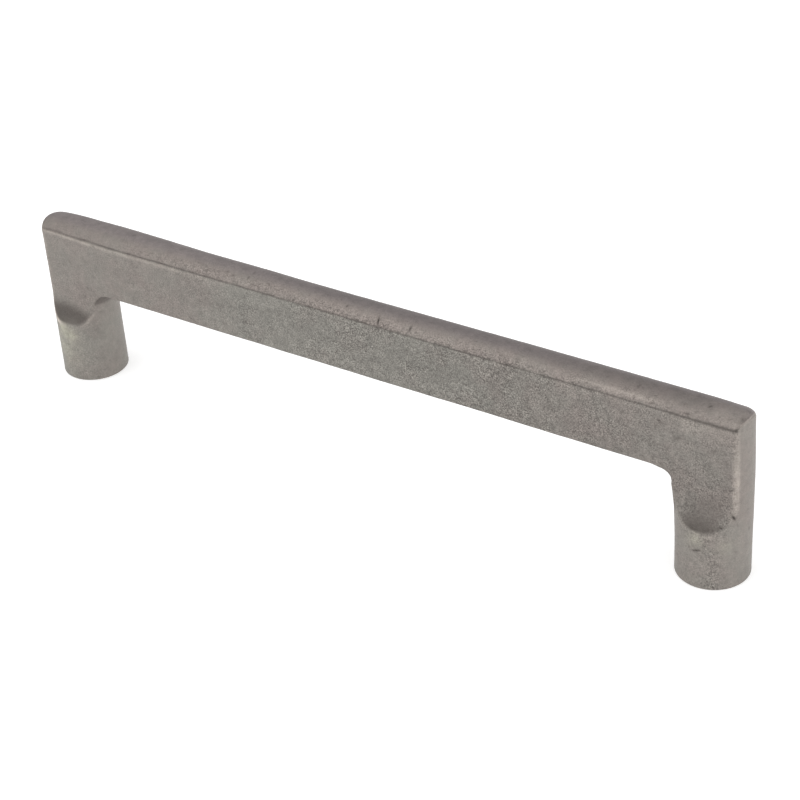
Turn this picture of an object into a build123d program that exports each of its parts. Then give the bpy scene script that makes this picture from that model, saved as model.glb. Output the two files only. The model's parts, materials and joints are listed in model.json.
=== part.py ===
from build123d import *
from math import radians, sqrt, tan
import os

# Driving dimensions of the pull, in millimetres
hole_spacing = 152.4  # screw hole to screw hole, 6 in
foot_diameter = 14.3  # round feet, and the round ends of the bar above them
projection = 36.5  # mounting face to the top of the crown
bar_depth = 14.5  # underside of the bar to the top of the crown
bar_thickness = 8.1  # between the two flat sides
crown_rise = 2.1  # how far the domed top stands above its front and back edges
scoop_radius = 8.4  # hollow in which each flat side runs out onto the foot
left_lip_height = 13.6  # where the hollow meets the front of the left foot
right_lip_height = 12.4  # the same on the right foot, a little lower on the casting
corner_radius = 3.0  # inside corner between the underside and a leg
web_flare = 0.8  # how far the foot of each inside corner stands out past the edge of the flat side
web_taper = 7.0  # degrees by which the web below each inside corner slopes back into the leg
side_edge_radius = 0.7  # soft edge between a flat side and the round post
top_edge_radius = 0.4  # edge all round the crowned top
underside_edge_radius = 0.4  # edges of the underside and of its inside corners
foot_edge_radius = 0.3  # edge of the mounting faces
screw_diameter = 4.2  # major diameter of the screw thread
screw_depth = 12.0  # depth of each blind hole
screw_mouth_rim = 0.5  # width of the small countersink at the mouth of each hole

# Sizes that follow from them
half_spacing = hole_spacing / 2
foot_radius = foot_diameter / 2
half_thickness = bar_thickness / 2
underside_height = projection - bar_depth
crown_edge_height = projection - crown_rise
side_depth = foot_radius - half_thickness
scoop_drop = sqrt(scoop_radius**2 - (scoop_radius - side_depth) ** 2)
screw_radius = screw_diameter / 2
# The web below each inside corner slopes back until it ends inside the post
flat_edge_x = half_spacing - sqrt(foot_radius**2 - half_thickness**2)
web_slope = tan(radians(web_taper))
web_end_x = flat_edge_x + side_edge_radius / 2
corner_x = flat_edge_x - web_flare - corner_radius * web_slope
web_end_height = underside_height - (web_end_x - corner_x) / web_slope
cut_margin = 1.0

# Bar from post to post, with its rounded inside corners and their webs
with BuildPart() as bar:
    with BuildSketch(Plane.XZ):
        with BuildLine():
            underside = FilletPolyline(
                (0, underside_height),
                (corner_x, underside_height),
                (web_end_x, web_end_height),
                radius=corner_radius,
            )
            Polyline(
                underside @ 1,
                (half_spacing, web_end_height),
                (half_spacing, projection),
                (0, projection),
                underside @ 0,
            )
        make_face()
        mirror(about=Plane.YZ)
    extrude(amount=half_thickness, both=True)
    corner_edges = bar.edges().filter_by(GeomType.CIRCLE)
    fillet(corner_edges, underside_edge_radius)

# The whole casting
with BuildPart() as pull:
    # Two round posts: the feet, which run on up as the round ends of the bar
    with BuildSketch(Plane.XY):
        with GridLocations(hole_spacing, 0, 2, 1):
            Circle(foot_radius)
    extrude(amount=projection)
    fillet(pull.edges().group_by(Axis.Z)[0], foot_edge_radius)

    # Flats on the front and back of each post, each ending in a hollow above the foot
    for post_x, lip_height in ((-half_spacing, left_lip_height), (half_spacing, right_lip_height)):
        scoop_top = lip_height + scoop_drop
        with BuildSketch(Plane.YZ.offset(post_x)):
            with BuildLine():
                scoop = RadiusArc(
                    (half_thickness + scoop_radius, scoop_top - scoop_radius),
                    (half_thickness, scoop_top),
                    scoop_radius,
                )
                Polyline(
                    scoop @ 1,
                    (half_thickness, projection + cut_margin),
                    (half_thickness + scoop_radius, projection + cut_margin),
                    scoop @ 0,
                )
            make_face()
            mirror(about=Plane.YZ)
        extrude(amount=foot_radius + cut_margin, both=True, mode=Mode.SUBTRACT)
    lip_edges = pull.edges().filter_by(GeomType.BSPLINE)
    fillet(lip_edges, side_edge_radius)

    add(bar.part)

    # Crown: the top is domed from front to back
    with BuildSketch(Plane.YZ):
        with BuildLine():
            crown = ThreePointArc(
                (-half_thickness, crown_edge_height), (0, projection), (half_thickness, crown_edge_height)
            )
            Polyline(
                crown @ 1,
                (half_thickness, projection + cut_margin),
                (-half_thickness, projection + cut_margin),
                crown @ 0,
            )
        make_face()
    extrude(amount=half_spacing + foot_diameter, both=True, mode=Mode.SUBTRACT)
    top_edges = pull.edges().filter_by_position(Axis.Z, crown_edge_height - crown_rise / 2, projection)
    fillet(top_edges, top_edge_radius)

    # Blind screw holes in the mounting faces
    with Locations(Location((-half_spacing, 0, 0), (180, 0, 0)), Location((half_spacing, 0, 0), (180, 0, 0))):
        CounterSinkHole(screw_radius, screw_radius + screw_mouth_rim, depth=screw_depth)

pull.part.label = "pull"
os.makedirs("parts", exist_ok=True)
export_step(pull.part, "parts/pull.step")
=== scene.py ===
import json
import math

import bpy
import numpy as np
from mathutils import Matrix, Vector, noise


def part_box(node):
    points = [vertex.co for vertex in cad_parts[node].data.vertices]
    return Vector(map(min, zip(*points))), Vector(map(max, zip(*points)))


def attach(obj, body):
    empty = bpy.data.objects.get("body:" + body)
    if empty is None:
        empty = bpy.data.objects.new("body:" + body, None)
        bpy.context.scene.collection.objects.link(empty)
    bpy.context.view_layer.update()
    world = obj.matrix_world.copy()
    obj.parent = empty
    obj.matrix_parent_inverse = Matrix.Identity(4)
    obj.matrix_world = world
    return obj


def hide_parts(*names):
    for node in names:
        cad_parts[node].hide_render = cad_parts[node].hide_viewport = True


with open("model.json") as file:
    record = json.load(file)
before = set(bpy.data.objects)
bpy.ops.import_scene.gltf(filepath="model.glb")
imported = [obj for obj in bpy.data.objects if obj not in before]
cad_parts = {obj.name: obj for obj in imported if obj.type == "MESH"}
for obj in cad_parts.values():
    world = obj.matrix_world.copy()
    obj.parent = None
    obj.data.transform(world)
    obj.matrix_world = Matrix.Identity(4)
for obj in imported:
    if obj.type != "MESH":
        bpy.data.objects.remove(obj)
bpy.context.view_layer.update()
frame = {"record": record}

MM = 0.001

# Outer sizes of the casting, read from the frame, in millimetres
pull_low, pull_high = (np.array(corner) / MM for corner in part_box("pull"))
screw_holes = next(mount for mount in frame["record"]["mounts"] if mount["name"] == "screw_holes")
HALF_SPACING = screw_holes["dims"]["spacing_x_mm"] / 2
SCREW_RADIUS = screw_holes["dims"]["hole_r_mm"]
FOOT_RADIUS = pull_high[0] - HALF_SPACING
END_X = pull_high[0]
PROJECTION = pull_high[2]

# Sizes of the form between them in millimetres, and the slopes of its webs
HALF_THICKNESS = 4.05
UNDERSIDE = PROJECTION - 14.5
CROWN_RISE = 2.1
CROWN_EDGE = PROJECTION - CROWN_RISE
CROWN_RADIUS = (HALF_THICKNESS**2 + CROWN_RISE**2) / (2 * CROWN_RISE)
CROWN_CENTRE = PROJECTION - CROWN_RADIUS
HALF_CHORD = math.sqrt(FOOT_RADIUS**2 - HALF_THICKNESS**2)
SCOOP = 8.4
SCOOP_DROP = math.sqrt(SCOOP**2 - (SCOOP - FOOT_RADIUS + HALF_THICKNESS) ** 2)
LEFT_LIP = 13.85
RIGHT_LIP = 12.4
LEFT_SIDE_EDGE = 0.35
RIGHT_SIDE_EDGE = 0.6
LIP_EDGE = 0.22
TOP_EDGE = 0.2
END_RIM = 0.15
UNDER_EDGE = 0.3
FOOT_EDGE = 0.3
CORNER = 3.0
WEB_FLARE = 0.8
LEFT_WEB_SLOPE = 0.7
RIGHT_WEB_SLOPE = 0.123
WEB_BLEND = 2.0
LEG_INNER = HALF_SPACING - HALF_CHORD - WEB_FLARE
CORNER_END = UNDERSIDE - CORNER

# Tapped screw holes and the faces round them, in millimetres
SCREW_DEPTH = 12.0
SCREW_MOUTH = SCREW_RADIUS + 0.5
MOUTH_DEPTH = 0.58
THREAD_PITCH = 0.794
THREAD_HEIGHT = 0.38
THREAD_END = 0.8
FACE_RINGS = (5.4, 4.0)

# Shape of the thread: crest and flank as shares of its height, and rings of points to a turn
THREAD_CREST = 1.15
THREAD_FLANK = 2.6
RINGS_PER_TURN = 6

# How the hand finish departs from the drawn form, in millimetres
LEFT_ROLL = 0.2
LEFT_ROLL_LENGTH = 5.0
LEFT_FULLNESS = 0.28
RIGHT_ROLL = 0.45
RIGHT_ROLL_LENGTH = 9.0
TIP_ROLL = 0.6
TIP_ROLL_LENGTH = 1.7
RIGHT_END_LEAN = 0.3
LEFT_LIP_SPREAD = 0.6
UNDERSIDE_DROP = 0.12
UNDERSIDE_TILT = 0.17
LEFT_CORNER = 5.0
LEFT_LEG_SHIFT = 0.9
RIGHT_CORNER = 2.0
RIGHT_CORNER_FALL = 0.42
RIGHT_LEG_SHIFT = -0.2
MIDDLE_SAG = 0.12
CREASE_DEPTH = 0.07
CREASE_WIDTH = 0.12
SKIN_ALLOWANCE = 0.02

# Waves of the cast surface: the height and length of each kind, in millimetres
CAST_WAVES = [(0.05, 21.0), (0.035, 8.0), (0.02, 3.0), (0.014, 1.1)]

# How far apart in the noise the kinds of waves are read, in wavelengths
SEED_SHIFT = (17.3, 5.1, 29.7)

# Small pits of the casting: how many, and the least and most of their sizes in millimetres
PIT_SEED = 11
PIT_COUNT = 240
PIT_LENGTHS = (0.25, 0.6)
PIT_WIDTHS = (0.17, 0.26)
PIT_DEPTHS = (0.02, 0.07)

# Depth at which a pit or nick starts to turn black, and the further depth that it takes
DEEP_PIT = 0.08
DEEP_PIT_RANGE = 0.07

# Stains on the feet: a point close to each, its size and how strong it is
PALE_STAINS = [
    ((-78.5, -6.8, 7.5), 4.0, 0.5),
    ((-77.9, -7.0, 12.6), 1.6, 1.0),
    ((-75.6, -7.1, 11.6), 1.7, 0.7),
    ((76.0, -7.1, 10.8), 1.7, 0.5),
    ((81.0, -5.3, 9.6), 1.6, 0.25),
]
# Darker patches on the feet, given the same way
DARK_PATCHES = [
    ((-70.2, -4.0, 12.0), 2.2, 0.4),
    ((-69.6, -2.5, 4.0), 4.0, 0.4),
    ((79.6, -6.3, 1.5), 1.6, 0.6),
]

# Nicks that stand out: a point close to each, which way it runs, its length, width and depth
UPRIGHT = (0.0, 0.6, 0.8)
ACROSS_TOP = (-0.2, 0.75, 0.63)
LENGTHWISE = (1.0, 0.0, 0.0)
RISING = (0.93, 0.0, 0.37)
SLANTING = (0.7, 0.0, -0.7)
ASLANT_ACROSS = (-0.59, 0.81, 0.0)
ROUND_FOOT = (0.8, 0.57, 0.1)
DOWN_FOOT = (0.3, 0.4, -0.87)
NICKS = [
    ((-57.9, -4.0, 34.3), LENGTHWISE, 0.5, 0.20, 0.06),
    ((-52.9, -3.4, 35.1), LENGTHWISE, 0.4, 0.22, 0.07),
    ((-51.7, -3.0, 35.5), LENGTHWISE, 0.4, 0.22, 0.06),
    ((-32.2, -2.5, 35.9), LENGTHWISE, 0.5, 0.22, 0.08),
    ((-30.5, -2.6, 35.8), LENGTHWISE, 0.4, 0.22, 0.07),
    ((-27.0, -2.3, 35.9), UPRIGHT, 0.5, 0.25, 0.09),
    ((-14.5, -3.7, 34.8), LENGTHWISE, 0.4, 0.20, 0.10),
    ((-2.6, -2.4, 35.9), UPRIGHT, 0.6, 0.20, 0.10),
    ((5.4, -3.2, 35.3), ACROSS_TOP, 1.1, 0.20, 0.14),
    ((12.7, -3.0, 35.5), UPRIGHT, 1.0, 0.22, 0.12),
    ((2.8, -4.0, 34.5), LENGTHWISE, 0.5, 0.25, 0.08),
    ((8.7, -4.05, 34.1), LENGTHWISE, 0.4, 0.22, 0.07),
    ((25.6, -3.9, 34.6), LENGTHWISE, 0.4, 0.22, 0.07),
    ((12.3, -4.05, 30.8), RISING, 0.4, 0.22, 0.06),
    ((17.3, -4.05, 30.1), LENGTHWISE, 0.4, 0.22, 0.06),
    ((40.2, -3.4, 35.2), LENGTHWISE, 0.5, 0.20, 0.07),
    ((65.3, -3.5, 35.0), LENGTHWISE, 0.6, 0.20, 0.09),
    ((72.2, -3.6, 35.0), LENGTHWISE, 0.7, 0.20, 0.10),
    ((75.7, -1.5, 36.3), ASLANT_ACROSS, 0.9, 0.26, 0.10),
    ((82.2, -1.7, 36.1), LENGTHWISE, 0.4, 0.22, 0.06),
    ((82.0, -4.0, 34.2), LENGTHWISE, 0.7, 0.35, 0.10),
    ((66.8, -4.05, 31.8), SLANTING, 0.7, 0.25, 0.11),
    ((70.7, -4.05, 29.4), LENGTHWISE, 0.7, 0.40, 0.075),
    ((70.2, -4.05, 28.9), RISING, 0.5, 0.25, 0.06),
    ((78.1, -4.05, 29.0), UPRIGHT, 0.7, 0.20, 0.08),
    ((66.6, -4.05, 26.7), RISING, 0.5, 0.22, 0.08),
    ((65.8, -4.05, 23.9), UPRIGHT, 0.5, 0.22, 0.06),
    ((59.2, -4.05, 22.9), LENGTHWISE, 0.5, 0.25, 0.07),
    ((46.3, -4.05, 30.1), SLANTING, 0.5, 0.20, 0.06),
    ((76.2, -7.1, 8.5), RISING, 1.0, 0.20, 0.16),
    ((77.9, -7.0, 11.4), UPRIGHT, 0.8, 0.20, 0.06),
    ((80.3, -5.8, 14.0), ROUND_FOOT, 0.9, 0.20, 0.12),
    ((82.1, -4.1, 15.8), DOWN_FOOT, 0.7, 0.27, 0.17),
]

# The photograph's camera: angles in degrees, lengths in millimetres
VIEW_AZIMUTH = 36.133
VIEW_ELEVATION = 32.394
VIEW_ROLL = -4.049
VIEW_TARGET = (5.818, 1.524, 14.563)
VIEW_DISTANCE = 404.944
FOCAL_PIXELS = 2020.137
IMAGE_PIXELS = 800
SENSOR_WIDTH = 36.0


def both(a, b, radius):
    """Depth inside both forms, with the edge between them rounded."""
    inside = np.minimum(np.maximum(a, b), -radius)
    return inside + np.hypot(np.maximum(a + radius, 0), np.maximum(b + radius, 0))


def either(a, b, radius):
    """Depth inside either form, with the inside corner between them filled."""
    outside = np.maximum(np.minimum(a, b), radius)
    return outside - np.hypot(np.maximum(radius - a, 0), np.maximum(radius - b, 0))


def ease(value, start, stop):
    """0 up to start, 1 from stop on, and a smooth climb between them."""
    t = np.clip((value - start) / (stop - start), 0, 1)
    return t * t * (3 - 2 * t)


def fade(value, start, stop):
    """1 up to start, 0 from stop on, and a smooth fall between them."""
    return ease(-value, -stop, -start)


def around(value, middle, width):
    """1 at the middle, and smoothly less on both sides of it."""
    return np.exp(-(((value - middle) / width) ** 2))


# The form, in millimetres: x runs along the bar, y to the back and z up from the mounting faces


def posts(x, y, z):
    """The round feet, which run up as the ends of the bar; the top of the right end leans in."""
    lean = RIGHT_END_LEAN * ease(z, UNDERSIDE, PROJECTION) * ease(x, HALF_SPACING, END_X)
    return np.hypot(np.abs(x) - HALF_SPACING, y) - FOOT_RADIUS + lean


def scoop_fall(x, z):
    """How far below the start of its hollow a point is; the left hollow is fuller at its sides."""
    fuller = LEFT_LIP_SPREAD * ease(np.abs(x + HALF_SPACING), 1.0, 4.5)
    lip = np.where(x < 0, LEFT_LIP - fuller, RIGHT_LIP)
    return np.maximum(lip + SCOOP_DROP - z, 0)


def flat_sides(x, y, z):
    """The flats on front and back, each hollowed out onto the feet."""
    flat = np.abs(y) - HALF_THICKNESS
    return SCOOP - np.hypot(flat - SCOOP, scoop_fall(x, z))


def bar_outline(x, z):
    """The bar seen from the front: its underside, and inside corners that taper down the legs."""
    along = np.abs(x)
    slope = np.where(x < 0, LEFT_WEB_SLOPE, RIGHT_WEB_SLOPE)
    web_top = np.where(x < 0, UNDERSIDE - LEFT_CORNER, CORNER_END)
    inner = LEG_INNER + np.where(x < 0, LEFT_LEG_SHIFT, RIGHT_LEG_SHIFT)
    leg = inner + slope * np.maximum(web_top - z, 0) - along
    tilt = UNDERSIDE_TILT * np.clip(x / LEG_INNER, -1, 1)
    fall = RIGHT_CORNER_FALL * ease(x, LEG_INNER - 5, LEG_INNER - 1)
    underside = UNDERSIDE - UNDERSIDE_DROP + tilt - fall - z
    corner = np.where(x < 0, LEFT_CORNER, RIGHT_CORNER)
    return np.maximum(either(leg, underside, corner), along - HALF_SPACING)


def bar(x, y, z):
    """The bar from post to post, with its rounded inside corners."""
    return both(bar_outline(x, z), np.abs(y) - HALF_THICKNESS, UNDER_EDGE)


def body(x, y, z):
    """Posts and bar together, before the top is domed."""
    side_edge = np.where(x < 0, LEFT_SIDE_EDGE, RIGHT_SIDE_EDGE)
    edge = LIP_EDGE + (side_edge - LIP_EDGE) * fade(scoop_fall(x, z), 0, 0.6 * SCOOP_DROP)
    flattened_posts = both(posts(x, y, z), flat_sides(x, y, z), edge)
    web = WEB_BLEND * ease(HALF_THICKNESS - np.abs(y), 0, WEB_BLEND)
    return either(flattened_posts, bar(x, y, z), web)


def crown(x, y, z):
    """The domed top, rubbed down at both ends, full at the left and sagging in the middle."""
    across = np.minimum(np.abs(y), HALF_THICKNESS)
    rise = z - CROWN_CENTRE
    dome = np.hypot(across, np.maximum(rise, 0)) - CROWN_RADIUS + np.minimum(rise, 0)
    left_roll = LEFT_ROLL * ease(-x, END_X - LEFT_ROLL_LENGTH, END_X)
    right_roll = RIGHT_ROLL * ease(x, END_X - RIGHT_ROLL_LENGTH, END_X)
    near_tip = np.clip(1 + posts(x, y, z) / TIP_ROLL_LENGTH, 0, 1) * (np.abs(x) > HALF_SPACING)
    tip_roll = TIP_ROLL * near_tip**2 * ease(y, -HALF_THICKNESS, 0.5)
    fullness = LEFT_FULLNESS * fade(x, -62, -40) * ease(x, -END_X, -74) * ease(y, 0, 3)
    sag = MIDDLE_SAG * ease(x, -29, -16) * fade(x, 0, 45) * ease(y, -1.5, 1)
    middle = np.clip(1 - (y / HALF_THICKNESS) ** 2, 0, 1)
    return dome + (left_roll + right_roll) * middle + tip_roll + sag - fullness


def casting(points):
    """Depth of points in the whole casting: negative inside, nought on its skin."""
    x, y, z = np.moveaxis(points, -1, 0)
    edge = TOP_EDGE + END_RIM * ease(np.abs(x), END_X - 3, END_X - 0.5)
    domed = both(body(x, y, z), crown(x, y, z), edge)
    return both(domed, -z, FOOT_EDGE)


def skin_normals(points):
    """Outward directions of the casting's skin."""
    step = 0.02
    slope = np.empty_like(points)
    for axis in range(3):
        shift = np.zeros(3)
        shift[axis] = step
        slope[..., axis] = casting(points + shift) - casting(points - shift)
    return slope / np.linalg.norm(slope, axis=-1, keepdims=True)


# Cross sections follow the casting from the left foot, along the bar and down to the right foot,
# in steps of millimetres along the legs and bar and of degrees round the corners
FAN_X = LEG_INNER - CORNER
FAN_Z = CORNER_END
FAN_BULGE = 3.0
FAN_DEGREES = 1.15
RIM_DEGREES = 0.28
BAR_MIDDLE = (CROWN_EDGE + UNDERSIDE) / 2
BAR_STEP = 0.43
FOOT_HEIGHTS = (0.02, 0.06, 0.13, 0.22, 0.34, 0.55)
LEG_START = 0.85
LEG_STEP = 0.40
SCOOP_STEP = 0.24
NICK_STEP = 0.1
NICK_STEPS = np.arange(-4, 5)
FRONT_ROWS, TOP_ROWS, BACK_ROWS, UNDER_ROWS = 44, 33, 31, 18
RAY_REACH = 30.0
RAY_HALVINGS = 28


def spaced(places):
    """Places in order, without those that nearly meet the one before."""
    ordered = np.unique(places.round(3))
    return ordered[np.insert(np.diff(ordered) > NICK_STEP / 2, 0, True)]


def close_to(places):
    """Places close together on both sides of each given one."""
    return [place + NICK_STEP * NICK_STEPS for place in places]


def leg_sections():
    """Level sections of the right leg, foot first: centre, outward direction, reach each way."""
    straight = np.arange(LEG_START, RIGHT_LIP - 2, LEG_STEP)
    scooped = np.arange(RIGHT_LIP - 1.8, FAN_Z - 0.1, SCOOP_STEP)
    rising = [place[2] for place, run, *_ in NICKS if run == RISING]
    fine = close_to(height for height in rising if height < RIGHT_LIP)
    heights = spaced(np.concatenate([FOOT_HEIGHTS[1:], straight, scooped, *fine]))
    heights = np.concatenate([FOOT_HEIGHTS[:1], heights])
    level = np.ones_like(heights)
    flatness = ease(heights, RIGHT_LIP - 4, RIGHT_LIP + 5)
    return np.column_stack([
        level * HALF_SPACING, heights, level, 0 * level,
        level * HALF_CHORD, level * HALF_CHORD, flatness,
    ])


def corner_sections():
    """Sections that fan round the right inside corner, closest together at the end's rim."""
    rim = math.degrees(math.atan2(PROJECTION - FAN_Z, END_X - FAN_X))
    before = np.arange(0, rim - 4, FAN_DEGREES)
    at_rim = np.arange(rim - 3.6, rim + 3.2, RIM_DEGREES)
    after = np.arange(rim + 3.6, 90, FAN_DEGREES)
    turn = np.radians(np.concatenate([before, at_rim, after]))
    reach = np.minimum(
        (HALF_SPACING + HALF_CHORD - FAN_X) / np.maximum(np.cos(turn), 1e-6),
        (CROWN_EDGE - FAN_Z) / np.maximum(np.sin(turn), 1e-6),
    )
    share = turn / (np.pi / 2)
    inner = (HALF_SPACING - HALF_CHORD - FAN_X) * (1 - share) + CORNER * share
    middle = (HALF_SPACING - FAN_X) * (1 - share) + (BAR_MIDDLE - FAN_Z) * share
    middle = middle + FAN_BULGE * np.sin(2 * turn)
    return np.column_stack([
        FAN_X + middle * np.cos(turn), FAN_Z + middle * np.sin(turn), np.cos(turn), np.sin(turn),
        reach - middle, middle - inner, np.ones_like(turn),
    ])


def bar_sections():
    """Upright sections from left to right, closer together at the nicks that run across the bar."""
    even = np.linspace(-FAN_X, FAN_X, round(2 * FAN_X / BAR_STEP))
    across = [place[0] for place, run, *_ in NICKS if run in (UPRIGHT, ACROSS_TOP)]
    fine = close_to(x for x in across if abs(x) < FAN_X - 1)
    x = spaced(np.concatenate([even, *fine]))
    level = np.ones_like(x)
    half_depth = CROWN_EDGE - BAR_MIDDLE
    return np.column_stack([
        x, level * BAR_MIDDLE, 0 * level, level,
        level * half_depth, level * half_depth, level,
    ])


def all_sections():
    """Every section in order, from the left foot to the right foot."""
    right = np.vstack([leg_sections(), corner_sections()])
    left = right * np.array([-1, 1, -1, 1, 1, 1, 1])
    return np.vstack([left, bar_sections(), right[::-1]])


def gathered(count, gather):
    """Steps from 0 up to 1, closer together near both ends."""
    u = np.arange(count) / count
    return u - gather * np.sin(2 * np.pi * u) / (2 * np.pi)


def side_angles(sections):
    """Directions round each section: front, outer side, back, inner side, close at the corners."""
    reach_out, reach_in, flatness = sections[:, 4:5], sections[:, 5:6], sections[:, 6:7]
    width = HALF_THICKNESS
    out_angle = np.arctan2(width, reach_out)
    in_angle = np.pi - np.arctan2(width, reach_in)
    front = gathered(FRONT_ROWS, 0.65)[None]
    top = gathered(TOP_ROWS, 0.75)[None]
    back = gathered(BACK_ROWS, 0.65)[None]
    under = gathered(UNDER_ROWS, 0.55)[None]
    straight = np.hstack([
        np.arctan2(-width + 0 * front, -reach_in + (reach_out + reach_in) * front),
        np.arctan2(width * (2 * top - 1), reach_out + 0 * top),
        np.arctan2(width + 0 * back, reach_out - (reach_out + reach_in) * back),
        np.pi + np.arctan2(width * (2 * under - 1), reach_in + 0 * under),
    ])
    turned = np.hstack([
        -in_angle + (in_angle - out_angle) * front,
        out_angle * (2 * top - 1),
        out_angle + (in_angle - out_angle) * back,
        in_angle + 2 * (np.pi - in_angle) * under,
    ])
    return turned + (straight - turned) * flatness


def find_skin(centres, directions):
    """Where rays from inside the casting reach its skin."""
    near = np.zeros(directions.shape[:-1])
    far = np.full_like(near, RAY_REACH)
    for _ in range(RAY_HALVINGS):
        middle = (near + far) / 2
        outside = casting(centres + middle[..., None] * directions) > 0
        far = np.where(outside, middle, far)
        near = np.where(outside, near, middle)
    return centres + far[..., None] * directions


def skin_grid():
    """Points of the casting's skin, one row to each section, and the angles round them."""
    sections = all_sections()
    angles = side_angles(sections)
    nought = 0 * sections[:, 0]
    outward = np.column_stack([sections[:, 2], nought, sections[:, 3]])[:, None, :]
    across = np.array([0.0, 1.0, 0.0])
    directions = np.cos(angles)[..., None] * outward + np.sin(angles)[..., None] * across
    centres = np.column_stack([sections[:, 0], nought, sections[:, 1]])[:, None, :]
    return find_skin(np.broadcast_to(centres, directions.shape), directions), angles


# The cast surface and its finish: places and distances in millimetres, turns in degrees


def waves(points, length, seed):
    """Smooth random height at each point, with waves of the given length."""
    shift = Vector([seed * part for part in SEED_SHIFT])
    spots = points.reshape(-1, 3) / length
    heights = [noise.noise(Vector(spot) + shift) for spot in spots]
    return np.array(heights).reshape(points.shape[:-1])


def cast_waves(points):
    """The uneven surface that the mould and the hand finish leave."""
    kinds = enumerate(CAST_WAVES, start=1)
    return sum(height * waves(points, length, seed) for seed, (height, length) in kinds)


def dent(points, centre, run, length, width):
    """A long shallow dent round a point, 1 at its middle."""
    away = points - centre
    along = away @ run
    aside = np.maximum((away**2).sum(-1) - along**2, 0)
    return np.exp(-((along / length) ** 2) - aside / width**2)


def casting_pits(points, normals):
    """Depth of the small pits, more of them from the middle to the right, and of the nicks."""
    rng = np.random.default_rng(PIT_SEED)
    depth = np.zeros(points.shape[:-1])
    spots = points.reshape(-1, 3)
    likely = (0.35 + 0.65 * ease(spots[:, 0], -50, 10)) * (spots[:, 2] > 1)
    for index in rng.choice(len(spots), PIT_COUNT, replace=False, p=likely / likely.sum()):
        run = np.cross(normals.reshape(-1, 3)[index], rng.normal(size=3))
        length = rng.uniform(*PIT_LENGTHS)
        width = rng.uniform(*PIT_WIDTHS)
        pit = dent(points, spots[index], run / np.linalg.norm(run), length, width)
        depth = np.maximum(depth, rng.uniform(*PIT_DEPTHS) * pit)
    for place, run, length, width, deep in NICKS:
        nearest = spots[((spots - np.array(place)) ** 2).sum(-1).argmin()]
        nick = dent(points, nearest, np.array(run) / np.linalg.norm(run), length, width)
        depth = np.maximum(depth, deep * nick)
    return depth


def below_top_edge(x, y, z):
    """How far a point is down the side from the edge of the top; below nought up on the top."""
    return body(x, y, z) - crown(x, y, z)


def crease_along_top(points):
    """The fine crease where the domed top meets the sides: higher up at the left end."""
    x, y, z = np.moveaxis(points, -1, 0)
    far_left = fade(x, -74, -64)
    drift = 0.05 * waves(points, 2.6, seed=5)
    line = 0.08 * ease(x, -10, 10) - 0.03 - 0.2 * far_left + drift
    width = CREASE_WIDTH * (1 + 0.8 * far_left + 0.6 * ease(x, 60, 80))
    broken = 0.35 * waves(points, 1.7, seed=6)
    strength = 0.85 - 0.25 * far_left + 0.25 * ease(x, 55, 78) + broken
    round_end = ease(np.abs(x), 80.0, 82.0) * ease(y, -3.9, -3.2)
    faded = np.where(x < 0, 0.8, 0.55) * round_end
    on_line = around(below_top_edge(x, y, z), line, width)
    return on_line * np.clip(strength, 0.1, 1) * (1 - faded)


def scoop_patina(x, y, z):
    """Dark patina in the steep lower part of each scoop, up to its lip."""
    fallen = scoop_fall(x, z) / SCOOP_DROP
    amid = 1 - ease(np.abs(np.abs(x) - HALF_SPACING), 1.5, 5.0)
    right = 0.4 * amid * ease(fallen, 0.05, 0.35) + 0.6 * ease(fallen, 0.5, 0.95)
    outer = ease(-x, HALF_SPACING - 3, HALF_SPACING + 5)
    paler_lip = 0.25 * ease(fallen, 0.75, 1.0) * (1 - outer)
    left = ease(fallen + 0.1 * outer, 0.32, 0.7) * (1 - paler_lip)
    steep = np.where(x < 0, left, right)
    on_scoop = ease(flat_sides(x, y, z), -0.25, -0.1)
    return steep * on_scoop * ease(-posts(x, y, z), 0.0, 0.3)


def corner_shade_and_patina(x, y, z):
    """Painted shade in the inside corners under the bar, with some dark patina."""
    along = np.abs(x)
    lengthwise = ease(along, FAN_X - 2.5, FAN_X + 0.5) * ease(HALF_SPACING - along, 4.5, 5.5)
    upright = ease(z, CORNER_END - 0.9, CORNER_END) * (z < UNDERSIDE + 0.3)
    return lengthwise * upright * ease(HALF_THICKNESS - np.abs(y), 0.02, 0.25)


def wear_and_highlight_on_posts(x, y, z):
    """Where handling has polished the side edges of the posts, with a painted highlight along them,
    and a painted highlight on the tip of the left lip.
    """
    round_from_flat = np.where(x < 0, 0, 0.35)
    from_edge = np.hypot(posts(x, y, z), flat_sides(x, y, z) + round_from_flat)
    clear_of_bar = ease(bar_outline(x, z), 0.0, 0.5)
    on_lip = ease(scoop_fall(x, z), 0.5, 3.5)
    right_strength = (0.2 + 0.3 * around(z, 24, 5)) * (1 - 0.65 * on_lip)
    strength = np.where(x < 0, 0.33, right_strength)
    side_edge = fade(from_edge, 0.15, 0.8) * clear_of_bar * strength
    lip_length = fade(x, -78.5, -77) * ease(z, 12.5, 13.5) * fade(z, 15.5, 16.5)
    left_lip = fade(from_edge, 0.3, 1.0) * lip_length
    return np.maximum(side_edge, left_lip)


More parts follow.
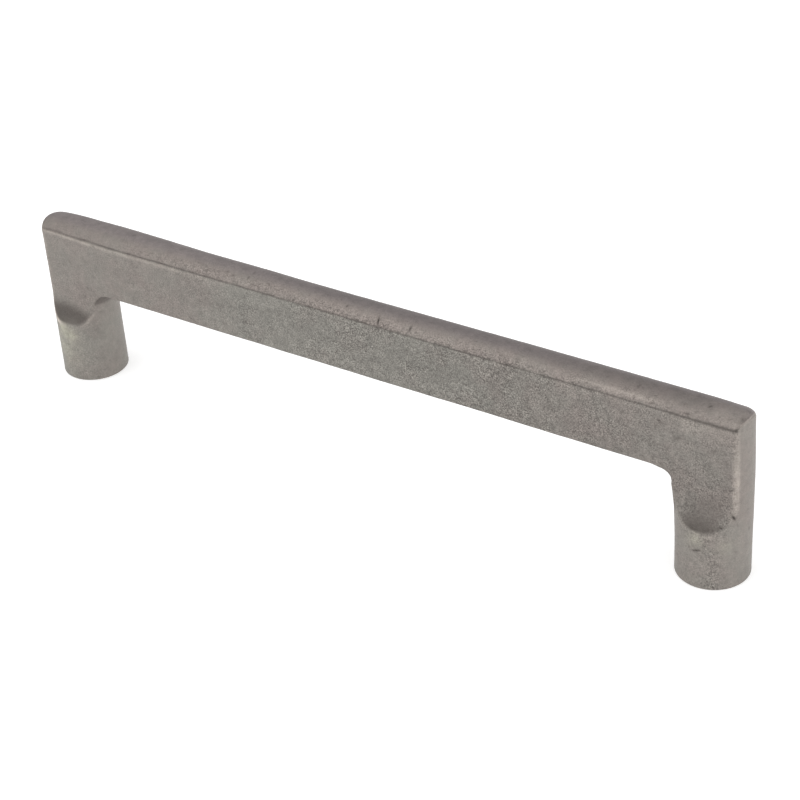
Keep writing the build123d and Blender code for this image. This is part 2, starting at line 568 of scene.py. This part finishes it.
def wear_and_highlight_on_top(x, y, z):
    """Painted highlights along both sides of the top's edge and on the right end of the top, with
    the polish that handling left there.
    """
    below_edge = below_top_edge(x, y, z)
    line_place = 0.06 + 0.26 * ease(x, -80, -66)
    line_strength = 0.3 * fade(x, -56, -24) + 0.14 * fade(x, -70, -62)
    left_line = line_strength * around(below_edge, line_place, 0.2)
    face_height = ease(below_edge, 0.1, 0.3) * (1 - ease(below_edge, 0.4, 2.2))
    under_edge = face_height * ease(-posts(x, y, z), 0.4, 0.8)
    rubbed_and_highlit_spot = 0.2 * around(x, 61, 7)
    right_face = under_edge * (0.09 + 0.03 * ease(x, 42, 60) + rubbed_and_highlit_spot) * ease(x, -30, 0)
    band_length = ease(x, 42, 58) * fade(x, 63, 70)
    right_band = 0.4 * around(below_edge, -0.75, 0.35) * band_length
    top_length = ease(x, -70, -50) * (0.7 + 0.3 * ease(x, -25, 0)) * (1 - 0.5 * ease(x, 40, 60))
    top_band = 0.1 * around(below_edge, -0.95, 0.65) * top_length
    right_rim = 0.5 * around(below_edge, 0, 0.25) * ease(x, 80.5, 82) * ease(y, -3.9, -3.2)
    right_tip = 0.14 * ease(-below_edge, 0.1, 0.5) * ease(x, 71, 80) * fade(y, 0, 1.5)
    return np.max([left_line, right_face, right_band, top_band, right_rim, right_tip], axis=0)


def patch_strength(points, stains):
    """How strongly each point lies in the given patches."""
    strength = np.zeros(points.shape[:-1])
    for place, size, strong in stains:
        strength = strength + strong * np.exp(-((points - place) ** 2).sum(-1) / size**2)
    return strength


def painted_shade_and_patches(points):
    """How much painted shade the skin gets: the flat sides, most at the right, and the back of the
    top; and the darker patches of the feet.
    """
    x, y, z = np.moveaxis(points, -1, 0)
    on_flat = ease(flat_sides(x, y, z), -0.3, -0.05) * ease(-crown(x, y, z), 0.1, 0.6)
    middle_band = 0.3 * around(z, 28.5, 2.3) * fade(x, 20, 45)
    upper_right = 0.25 * ease(x, 35, 60) * ease(z, 26, 31)
    face = on_flat * (0.85 * ease(x, -70, 60) + middle_band - upper_right) * ease(z, 12, 19)
    on_top = ease(-below_top_edge(x, y, z), 0.3, 1.0)
    right_part = ease(x, 25, 50)
    across = ease(y + 0.9 * right_part, -2.8, -0.4) * (1 - 0.3 * right_part * ease(y, -0.5, 1.5))
    top = on_top * across * ease(x, -55, 0) * fade(x, 72, 80)
    return np.clip(face + top + patch_strength(points, DARK_PATCHES), 0, 1)


def warm_skin(x, y, z):
    """How warm the metal's colour is: least on the middle of the bar and on the left foot."""
    bar_tone = 0.6 * fade(x, -50, -22) + 0.58 * ease(x, 12, 55)
    foot_tone = np.where(x < 0, 0.35 * ease(x, -80, -73), 0.5)
    return foot_tone + (bar_tone - foot_tone) * ease(z, 12.5, 17)


def pitted_foot(x, y, z):
    """The strip of small pits down the front of the right foot, wider at its base."""
    turn = np.degrees(np.arctan2(y, x - HALF_SPACING))
    middle = -65 - 12 * ease(z, 6, 11.5)
    width = 8 + 6 * fade(z, 1, 5)
    return around(turn, middle, width) * fade(z, 11.5, 13) * (x > 0)


def pitted_top(x, y, z):
    """The band of small pits along the edge of the top, left of the middle."""
    return around(below_top_edge(x, y, z), -1.0, 0.6) * ease(x, -60, -45) * fade(x, -20, -5)


def pitted_skin(points):
    """Where small pits lie close together: patches along the bar, the top and the right foot."""
    x, y, z = np.moveaxis(points, -1, 0)
    patches = 0.45 + 0.55 * ease(waves(points, 3.0, seed=7), -0.1, 0.35)
    along = ease(x, -50, 10) * ease(z, 14, 18) * ease(below_top_edge(x, y, z), -0.4, 0.4)
    pitted = patches * along + 0.7 * pitted_top(x, y, z) + 1.5 * pitted_foot(x, y, z)
    return np.clip(pitted, 0, 1)


def rough_skin(points, normals):
    """How far the sand's grain shows: most on the middle of the bar's flat sides."""
    x, y, z = np.moveaxis(points, -1, 0)
    facing = ease(np.abs(normals[..., 1]), 0.35, 0.95)
    bar_part = (0.25 + 0.75 * ease(x, -68, 2)) * (1 - 0.4 * ease(x, 35, 70))
    foot_part = 0.3 + 0.7 * pitted_foot(x, y, z)
    rough = facing * (foot_part + (bar_part - foot_part) * ease(z, 11, 13))
    return np.clip(rough + 0.3 * pitted_top(x, y, z), 0, 1)


def finished_skin(points):
    """The skin with its cast surface, and at each point the marks that its finish follows."""
    normals = skin_normals(points)
    x, y, z = np.moveaxis(points, -1, 0)
    # The crease is cut into the skin, and is also painted with shade through the hollow mark
    crease = crease_along_top(points)
    pits = casting_pits(points, normals)
    height = cast_waves(points) - SKIN_ALLOWANCE - CREASE_DEPTH * crease - pits
    height = height * ease(z, 0.1, 1.5)
    skin = np.clip(points + height[..., None] * normals, pull_low, pull_high)
    # Patina in the scoops, and painted shade with some patina in the inside corners
    patina = np.maximum(scoop_patina(x, y, z), 0.8 * corner_shade_and_patina(x, y, z))
    on_top = ease(-below_top_edge(x, y, z), -0.15, 0.15)
    # Polish from handling on the edges, together with painted highlights
    wear_and_highlight = np.maximum(wear_and_highlight_on_posts(x, y, z), wear_and_highlight_on_top(x, y, z))
    wear_and_highlight = np.clip(wear_and_highlight * (1 - crease) * (1 - patina), 0, 1)
    pitted = pitted_skin(points)
    right_front = ease(x, 35, 60) * fade(y, -0.5, 1.5)
    marks = {
        # The hollow mark darkens: patina in the scoops, painted shade in the inside corners, along
        # the crease and in the pits
        "hollow": np.clip(patina + 0.95 * crease + 9 * pits, 0, 1),
        "deep": np.clip((pits - DEEP_PIT) / DEEP_PIT_RANGE, 0, 1),
        "wear_and_highlight": wear_and_highlight,
        "warm": np.maximum(warm_skin(x, y, z), 0.9 * on_top),
        "cool": on_top * ease(y, -2.8, -0.3) * (1 - 0.6 * right_front),
        "rough": rough_skin(points, normals) * (1 - wear_and_highlight),
        "pitted": pitted,
        "shade_and_patches": np.clip(painted_shade_and_patches(points) - 0.4 * pitted, 0, 1),
        "stain": np.clip(patch_strength(points, PALE_STAINS), 0, 1),
    }
    return skin, marks


def thread_rings(turns):
    """Radius and height of points up a tapped hole, ring by ring, round the given turns."""
    step = THREAD_PITCH / RINGS_PER_TURN
    heights = np.arange(MOUTH_DEPTH + step, SCREW_DEPTH - step / 2, step)[:, None]
    place = (heights / THREAD_PITCH + turns[None] / (2 * np.pi)) % 1.0
    ridge = np.clip(THREAD_CREST - THREAD_FLANK * np.abs(place - 0.5), 0, 1)
    starts = ease(heights, MOUTH_DEPTH, MOUTH_DEPTH + THREAD_PITCH)
    full = starts * fade(heights, SCREW_DEPTH - THREAD_END, SCREW_DEPTH)
    return SCREW_RADIUS - THREAD_HEIGHT * ridge * full, heights + 0 * turns[None]


class SkinMesh:
    """Points and faces of the casting, gathered ring by ring."""

    def __init__(self):
        self.points = []
        self.faces = []
        self.cut = []
        self.count = 0

    def ring(self, points):
        """Add a ring of points and give their numbers."""
        self.points.append(points)
        numbers = np.arange(self.count, self.count + len(points))
        self.count += len(points)
        return numbers

    def face(self, corners, cut):
        """Add one face; cut says that it is bare machined metal."""
        self.faces.append([int(corner) for corner in corners])
        self.cut.append(cut)

    def join(self, ring, next_ring, cut=False):
        """Faces between two rings of the same length."""
        for here in range(len(ring)):
            there = (here + 1) % len(ring)
            self.face((ring[here], next_ring[here], next_ring[there], ring[there]), cut)

    def join_thirds(self, ring, next_ring, cut=True):
        """Faces from a ring to one with a third of its points."""
        for part in range(len(next_ring)):
            there = (part + 1) % len(next_ring)
            a, b, c, d = (ring[(3 * part + step) % len(ring)] for step in range(4))
            self.face((a, next_ring[part], b), cut)
            self.face((b, next_ring[part], next_ring[there], c), cut)
            self.face((c, next_ring[there], d), cut)

    def close(self, ring, centre, cut=True):
        """Faces from a ring to one point."""
        tip = self.ring(np.array([centre]))[0]
        for here in range(len(ring)):
            self.face((ring[here], tip, ring[(here + 1) % len(ring)]), cut)


def foot_ring(foot_x, side, turns, radius, height):
    """Points round a foot or its screw hole, on the given turns."""
    return np.column_stack([
        foot_x + side * radius * np.cos(turns), radius * np.sin(turns), height + 0 * turns,
    ])


def mounting_face(mesh, outer, side, turns):
    """The flat end of a foot, the countersunk mouth of its hole, and the tapped hole."""
    foot_x = side * HALF_SPACING
    ring = outer
    for radius in (FOOT_RADIUS - FOOT_EDGE, *FACE_RINGS, SCREW_MOUTH):
        next_ring = mesh.ring(foot_ring(foot_x, side, turns, radius, 0.0))
        mesh.join(ring, next_ring, cut=True)
        ring = next_ring
    third = turns[::3]
    next_ring = mesh.ring(foot_ring(foot_x, side, third, SCREW_RADIUS, MOUTH_DEPTH))
    mesh.join_thirds(ring, next_ring)
    ring = next_ring
    for radius, height in zip(*thread_rings(third)):
        next_ring = mesh.ring(foot_ring(foot_x, side, third, radius, height))
        mesh.join(ring, next_ring, cut=True)
        ring = next_ring
    end_ring = mesh.ring(foot_ring(foot_x, side, third, SCREW_RADIUS, SCREW_DEPTH))
    mesh.join(ring, end_ring, cut=True)
    mesh.close(end_ring, (foot_x, 0.0, SCREW_DEPTH))


def casting_mesh():
    """The whole casting as one closed skin."""
    points, angles = skin_grid()
    skin, marks = finished_skin(points)
    mesh = SkinMesh()
    rings = [mesh.ring(row) for row in skin]
    for ring, next_ring in zip(rings, rings[1:]):
        mesh.join(ring, next_ring)
    mounting_face(mesh, rings[0][::-1], -1, angles[0][::-1])
    mounting_face(mesh, rings[-1], 1, angles[-1])
    return mesh, marks


def add_mark(data, name, values, count):
    """Store a mark on the points of a mesh, nought on the points that have none."""
    layer = data.attributes.new(name, "FLOAT", "POINT")
    padded = np.zeros(count, dtype=np.float32)
    padded[: values.size] = values.ravel()
    layer.data.foreach_set("value", padded)


def add_to_scene(name, data):
    """A new object in the scene."""
    made = bpy.data.objects.new(name, data)
    bpy.context.scene.collection.objects.link(made)
    return made


def build_casting():
    """The pull as a mesh object, with its finishes."""
    mesh, marks = casting_mesh()
    data = bpy.data.meshes.new("pull_casting")
    data.from_pydata((np.vstack(mesh.points) * MM).tolist(), [], mesh.faces)
    data.materials.append(aged_bronze())
    data.materials.append(machined_bronze())
    data.polygons.foreach_set("material_index", np.array(mesh.cut, dtype=np.int32))
    data.polygons.foreach_set("use_smooth", np.ones(len(mesh.faces), dtype=bool))
    for name, values in marks.items():
        add_mark(data, name, values, mesh.count)
    data.update()
    return add_to_scene("pull_casting", data)


def fill(tree, socket, value):
    """Give an input a value, or link it to an output."""
    if isinstance(value, bpy.types.NodeSocket):
        tree.links.new(value, socket)
    else:
        socket.default_value = value


def node(tree, kind, inputs=None, **settings):
    """A new node, with its settings and with values or links for its inputs."""
    made = tree.nodes.new(kind)
    for name, value in settings.items():
        setattr(made, name, value)
    for socket, value in (inputs or {}).items():
        fill(tree, made.inputs[socket], value)
    return made


def blend(tree, factor, first, second, kind="MIX"):
    """A colour between two colours."""
    inputs = {0: factor, 6: first, 7: second}
    return node(tree, "ShaderNodeMix", inputs, data_type="RGBA", blend_type=kind).outputs[2]


def spread(tree, value, low, high, to_low=0.0, to_high=1.0):
    """A value stretched from one range to another, held at its ends."""
    made = node(tree, "ShaderNodeMapRange", {0: value, 1: low, 2: high, 3: to_low, 4: to_high})
    return made.outputs[0]


def between(tree, share, low, high):
    """A value that is low where the share is 0 and high where it is 1."""
    return spread(tree, share, 0, 1, low, high)


def combine(tree, operation, first, second):
    """Two values put together."""
    return node(tree, "ShaderNodeMath", {0: first, 1: second}, operation=operation).outputs[0]


def times(tree, first, second):
    """One value times another."""
    return combine(tree, "MULTIPLY", first, second)


def shaded(tree, colour, value):
    """A colour made darker or lighter by a value."""
    grey = node(tree, "ShaderNodeCombineColor", {0: value, 1: value, 2: value}).outputs[0]
    return blend(tree, 1.0, colour, grey, "MULTIPLY")


def noise_value(tree, place, scale, detail, roughness, distortion=0.0):
    """A noise texture's value at a place in metres."""
    inputs = {"Vector": place, "Scale": scale, "Detail": detail}
    inputs.update({"Roughness": roughness, "Distortion": distortion})
    return node(tree, "ShaderNodeTexNoise", inputs).outputs["Fac"]


# Grain of the sand mould and rubbing marks: waves of each noise to a metre
PATCH_SCALE = 170.0
ROUGH_AREA_SCALE = 160.0
MOTTLE_SCALE = 650.0
FLECK_SCALE = 1600.0
GRAIN_SCALE = 3200.0
RUBBING_SCALE = 5200.0


def sand_grain_group():
    """Grain of the sand mould at a place: broad patches, mottle, fine speckle and pores."""
    group = bpy.data.node_groups.new("sand_grain", "ShaderNodeTree")
    group.interface.new_socket("Place", in_out="INPUT", socket_type="NodeSocketVector")
    group.interface.new_socket("Pitted", in_out="INPUT", socket_type="NodeSocketFloat")
    for name in ("Patches", "Mottle", "Speckle", "Pores"):
        group.interface.new_socket(name, in_out="OUTPUT", socket_type="NodeSocketFloat")
    given = node(group, "NodeGroupInput").outputs
    place = given["Place"]
    patches = spread(group, noise_value(group, place, PATCH_SCALE, 4.0, 0.6), 0.36, 0.64)
    mottle = spread(group, noise_value(group, place, MOTTLE_SCALE, 4.0, 0.65), 0.34, 0.66)
    areas = noise_value(group, place, ROUGH_AREA_SCALE, 4.0, 0.65)
    rough_areas = spread(group, areas, 0.4, 0.58, 0.6, 1.0)
    sand = noise_value(group, place, GRAIN_SCALE, 2.0, 0.7)
    grains = spread(group, sand, 0.34, 0.66, -0.5, 0.5)
    speckle = combine(group, "ADD", times(group, grains, rough_areas), 0.5)
    flecks = noise_value(group, place, FLECK_SCALE, 3.0, 0.65, 1.5)
    flecks = combine(group, "ADD", flecks, between(group, given["Pitted"], 0.0, -0.06))
    pores = times(group, spread(group, flecks, 0.33, 0.42, 1.0, 0.0), rough_areas)
    values = {"Patches": patches, "Mottle": mottle, "Speckle": speckle, "Pores": pores}
    node(group, "NodeGroupOutput", values)
    return group


SAND_GRAIN = sand_grain_group()

# Finishes of the bronze, as linear colours
GREY_OLIVE = (0.285, 0.273, 0.248, 1)
WARM_BROWN = (0.292, 0.258, 0.238, 1)
COOL_BROWN = (0.312, 0.277, 0.271, 1)
PALE_STAIN = (0.43, 0.415, 0.345, 1)
# Dark patina of the scoops, also the painted shade of the inside corners, the crease and the pits
DARK_PATINA_AND_SHADE = (0.115, 0.101, 0.092, 1)
PIT_SHADE = (0.03, 0.027, 0.025, 1)
# Pale rubbed bronze of polished edges, also the colour of the painted highlights
RUBBED_AND_HIGHLIT_BRONZE = (0.64, 0.57, 0.51, 1)
CUT_BRONZE = (0.46, 0.40, 0.32, 1)
CUT_SHADE = (0.36, 0.31, 0.25, 1)

# Relief of the bronze, in millimetres
GRAIN_RELIEF = 0.025
RUBBING_RELIEF = 0.008


def grain_at_surface(tree, pitted):
    """The sand grain at each place on a piece, with more pores where it is pitted."""
    place = node(tree, "ShaderNodeTexCoord").outputs["Object"]
    inputs = {"Place": place, "Pitted": pitted}
    return node(tree, "ShaderNodeGroup", inputs, node_tree=SAND_GRAIN).outputs, place


def mark_value(tree, name):
    """A mark stored on the points of the casting."""
    return node(tree, "ShaderNodeAttribute", attribute_name=name).outputs["Fac"]


def new_finish(name):
    """A material with its shader and nothing on it yet."""
    material = bpy.data.materials.new(name)
    material.use_nodes = True
    return material, material.node_tree, material.node_tree.nodes["Principled BSDF"]


def add_relief(tree, shader, height, distance):
    """Small relief that follows a height, as deep as the distance in millimetres."""
    inputs = {"Height": height, "Distance": distance * MM, "Strength": 1.0}
    relief = node(tree, "ShaderNodeBump", inputs)
    tree.links.new(relief.outputs["Normal"], shader.inputs["Normal"])


def bronze_colour(tree, grain, wear_and_highlight):
    """Colour of the aged bronze: pale stains, painted shade and darker patches, pale where polished
    and where highlights are painted, dark with patina and painted shade in hollows, and dark in
    pores.
    """
    mottle = grain["Mottle"]
    tone = between(tree, mottle, 0.9, 1.1)
    uneven = between(tree, grain["Patches"], -0.25, 0.25)
    warm = combine(tree, "ADD", mark_value(tree, "warm"), uneven)
    colour = blend(tree, warm, GREY_OLIVE, WARM_BROWN)
    colour = blend(tree, mark_value(tree, "cool"), colour, COOL_BROWN)
    stain = times(tree, mark_value(tree, "stain"), between(tree, mottle, 0.6, 1.2))
    colour = blend(tree, stain, colour, PALE_STAIN)
    # Painted shade on the flat sides and the back of the top, with the darker patches of the feet
    colour = shaded(tree, colour, between(tree, mark_value(tree, "shade_and_patches"), 1.0, 0.86))
    # Pale where handling rubbed the edges, and where highlights are painted
    rubbed = times(tree, wear_and_highlight, between(tree, mottle, 0.5, 0.85))
    colour = blend(tree, rubbed, colour, RUBBED_AND_HIGHLIT_BRONZE)
    colour = shaded(tree, colour, tone)
    speckle = times(tree, between(tree, grain["Speckle"], 0.5, 1.5), tone)
    shown_grain = between(tree, mark_value(tree, "rough"), 0.15, 1.0)
    colour = blend(tree, shown_grain, colour, shaded(tree, colour, speckle))
    pores = times(tree, grain["Pores"], times(tree, shown_grain, 0.75))
    # Darker by the hollow mark's patina and painted shade, and by the pores of the grain
    dark = combine(tree, "MAXIMUM", times(tree, mark_value(tree, "hollow"), 0.8), pores)
    colour = blend(tree, dark, colour, DARK_PATINA_AND_SHADE)
    return blend(tree, times(tree, mark_value(tree, "deep"), 0.6), colour, PIT_SHADE)


def aged_bronze():
    """Grey-brown aged bronze, mottled and speckled, smoother and paler where handling polished it
    and where highlights are painted.
    """
    material, tree, shader = new_finish("aged_bronze")
    grain, _ = grain_at_surface(tree, mark_value(tree, "pitted"))
    wear_and_highlight = mark_value(tree, "wear_and_highlight")
    tree.links.new(bronze_colour(tree, grain, wear_and_highlight), shader.inputs["Base Color"])
    shader.inputs["Metallic"].default_value = 1.0
    polish = times(tree, wear_and_highlight, -0.08)
    roughness = combine(tree, "ADD", between(tree, grain["Mottle"], 0.5, 0.62), polish)
    tree.links.new(roughness, shader.inputs["Roughness"])
    height = combine(tree, "SUBTRACT", grain["Speckle"], times(tree, grain["Pores"], 1.5))
    add_relief(tree, shader, height, GRAIN_RELIEF)
    return material


def machined_bronze():
    """Bare bronze of the mounting faces and screw holes, with fine rubbing marks."""
    material, tree, shader = new_finish("machined_bronze")
    grain, place = grain_at_surface(tree, 0.0)
    stretch = {"Vector": place, "Scale": (0.06, 1.0, 1.0)}
    lengthwise = node(tree, "ShaderNodeMapping", stretch).outputs[0]
    rubbing = spread(tree, noise_value(tree, lengthwise, RUBBING_SCALE, 2.0, 0.6), 0.3, 0.7)
    colour = blend(tree, rubbing, CUT_SHADE, CUT_BRONZE)
    colour = blend(tree, times(tree, grain["Mottle"], 0.25), colour, WARM_BROWN)
    tree.links.new(colour, shader.inputs["Base Color"])
    shader.inputs["Metallic"].default_value = 1.0
    tree.links.new(between(tree, rubbing, 0.34, 0.5), shader.inputs["Roughness"])
    add_relief(tree, shader, rubbing, RUBBING_RELIEF)
    return material


# Studio: floor, light and camera, in metres and watts
FLOOR_HALF = 3.0
FLOOR_LEVEL = -0.00002
FLOOR_COLOUR = (0.82, 0.82, 0.82, 1)
FLOOR_LIFT = 0.5
SURROUND_LIGHT = 0.62
WHITE = (1, 1, 1, 1)
NEAR_CLIP = 0.01

# Soft lights: the name, place, size and power of each
LIGHT_AIM = (0, 0, 0.02)
SOFT_LIGHTS = [
    ("front_light", (-0.5, -0.75, 0.6), 0.9, 2.2),
    ("overhead_light", (-0.3, -0.1, 0.8), 0.8, 1.4),
    ("right_light", (0.8, 0.2, 0.3), 0.6, 2.0),
]


def seen_directly(tree):
    """1 for what the camera sees straight or mirrored, 0 for light that only falls on things."""
    path = node(tree, "ShaderNodeLightPath").outputs
    mirrored = combine(tree, "MAXIMUM", path["Is Glossy Ray"], path["Is Transmission Ray"])
    return combine(tree, "MAXIMUM", path["Is Camera Ray"], mirrored)


def floor_finish():
    """White floor that reads as white, keeps the shadow and is clear from below."""
    material, tree, shader = new_finish("white_floor")
    shader.inputs["Base Color"].default_value = FLOOR_COLOUR
    shader.inputs["Roughness"].default_value = 0.9
    shader.inputs["Specular IOR Level"].default_value = 0.0
    shader.inputs["Emission Color"].default_value = WHITE
    lift = times(tree, seen_directly(tree), FLOOR_LIFT)
    tree.links.new(lift, shader.inputs["Emission Strength"])
    from_below = node(tree, "ShaderNodeNewGeometry").outputs["Backfacing"]
    tree.links.new(combine(tree, "SUBTRACT", 1.0, from_below), shader.inputs["Alpha"])
    return material


def build_floor():
    """The floor that the pull stands on."""
    sides = ((-1, -1), (1, -1), (1, 1), (-1, 1))
    corners = [(x * FLOOR_HALF, y * FLOOR_HALF, FLOOR_LEVEL) for x, y in sides]
    data = bpy.data.meshes.new("floor")
    data.from_pydata(corners, [], [(0, 1, 2, 3)])
    data.materials.append(floor_finish())
    floor = add_to_scene("floor", data)


def surround():
    """Even pale light from all round."""
    world = bpy.data.worlds.new("surround")
    world.use_nodes = True
    bpy.context.scene.world = world
    backdrop = world.node_tree.nodes["Background"]
    backdrop.inputs["Color"].default_value = WHITE
    backdrop.inputs["Strength"].default_value = SURROUND_LIGHT


def soft_light(name, place, size, power):
    """A square soft light that shines on the pull."""
    data = bpy.data.lights.new(name, "AREA")
    data.size = size
    data.energy = power
    light = add_to_scene(name, data)
    light.location = place
    light.rotation_euler = (Vector(LIGHT_AIM) - Vector(place)).to_track_quat("-Z", "Y").to_euler()


def photo_camera():
    """The camera at the photograph's viewing angle."""
    azimuth = math.radians(VIEW_AZIMUTH)
    elevation = math.radians(VIEW_ELEVATION)
    roll = math.radians(VIEW_ROLL)
    level = math.cos(elevation)
    back = Vector((math.sin(azimuth) * level, -math.cos(azimuth) * level, math.sin(elevation)))
    right = (-back).cross(Vector((0, 0, 1))).normalized()
    up = back.cross(right)
    turned_right = math.cos(roll) * right + math.sin(roll) * up
    turned_up = math.cos(roll) * up - math.sin(roll) * right
    data = bpy.data.cameras.new("photo_camera")
    data.sensor_width = SENSOR_WIDTH
    data.lens = FOCAL_PIXELS / IMAGE_PIXELS * SENSOR_WIDTH
    data.clip_start = NEAR_CLIP
    camera = add_to_scene("photo_camera", data)
    place = Vector(VIEW_TARGET) * MM + back * VIEW_DISTANCE * MM
    axes = Matrix((turned_right, turned_up, back)).transposed().to_4x4()
    camera.matrix_world = Matrix.Translation(place) @ axes
    bpy.context.scene.camera = camera


def dress_pull():
    """The finished casting in place of the plain solid."""
    piece = build_casting()
    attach(piece, "root")
    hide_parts("pull")


dress_pull()
build_floor()
surround()
for light in SOFT_LIGHTS:
    soft_light(*light)
photo_camera()
bpy.context.scene.view_settings.view_transform = "Standard"
